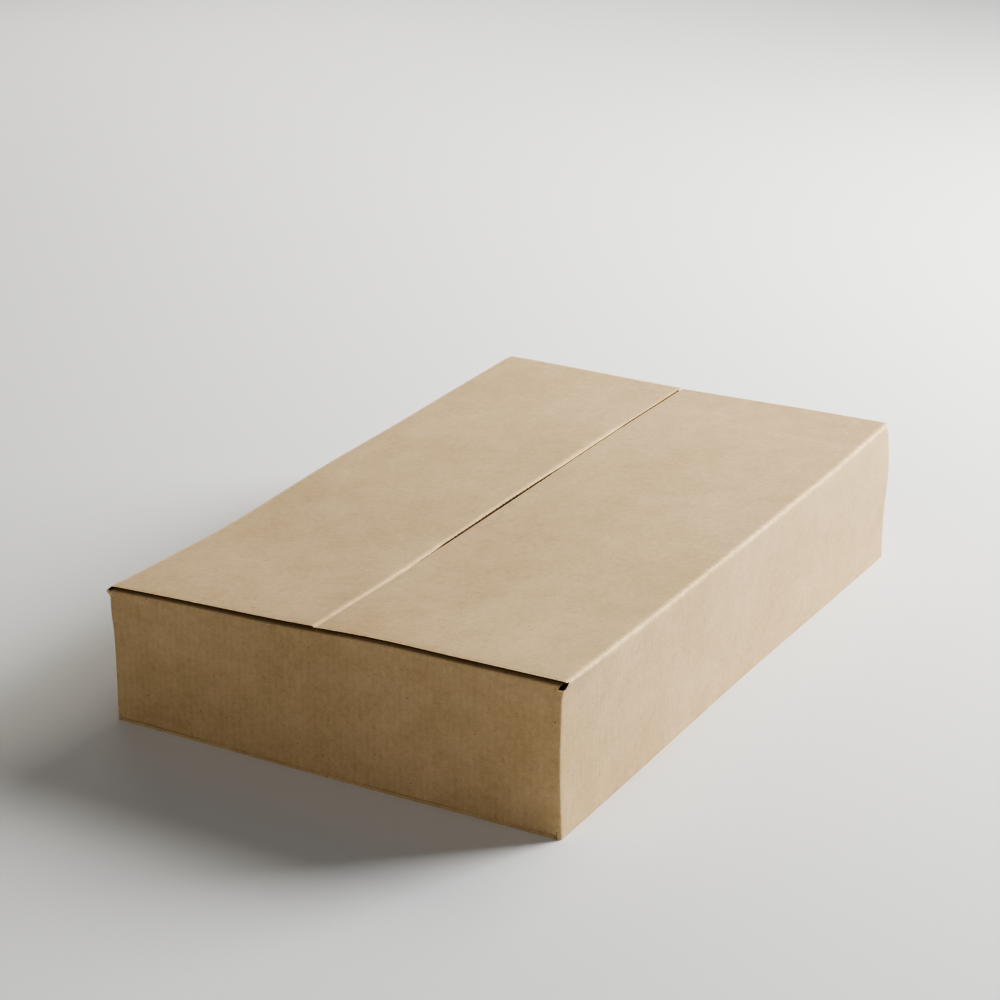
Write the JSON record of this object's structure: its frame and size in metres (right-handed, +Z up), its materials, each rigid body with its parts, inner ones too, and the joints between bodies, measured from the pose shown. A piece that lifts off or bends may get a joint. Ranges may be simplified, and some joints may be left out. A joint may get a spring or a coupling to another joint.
{
  "type": "shallow cardboard box",
  "caption": "Shallow slotted carton of plain brown corrugated board, closed, with outer top flaps that meet at a lengthwise seam and swing open on their creases.",
  "frame": {"origin": "on the ground, under the middle of the closed carton", "axes": "+X along the top seam, towards the wall with the glue tab; +Y towards the left flap's crease; +Z up"},
  "size_m": [0.35, 0.22, 0.07],
  "materials": {
    "kraft_board": "matt uncoated kraft liner"
  },
  "bodies": {
    "carton": {"carton": "kraft_board"},
    "left_flap": {"left_top_flap": "kraft_board"},
    "right_flap": {"right_top_flap": "kraft_board"}
  },
  "joints": [
    {"name": "left_flap_fold", "type": "hinge", "parent": "carton", "child": "left_flap", "pos_m": [0, 0.11, 0.07], "axis": [-1, 0, 0], "range_deg": [0, 210]},
    {"name": "right_flap_fold", "type": "hinge", "parent": "carton", "child": "right_flap", "pos_m": [0, -0.11, 0.07], "axis": [1, 0, 0], "range_deg": [0, 210]}
  ]
}
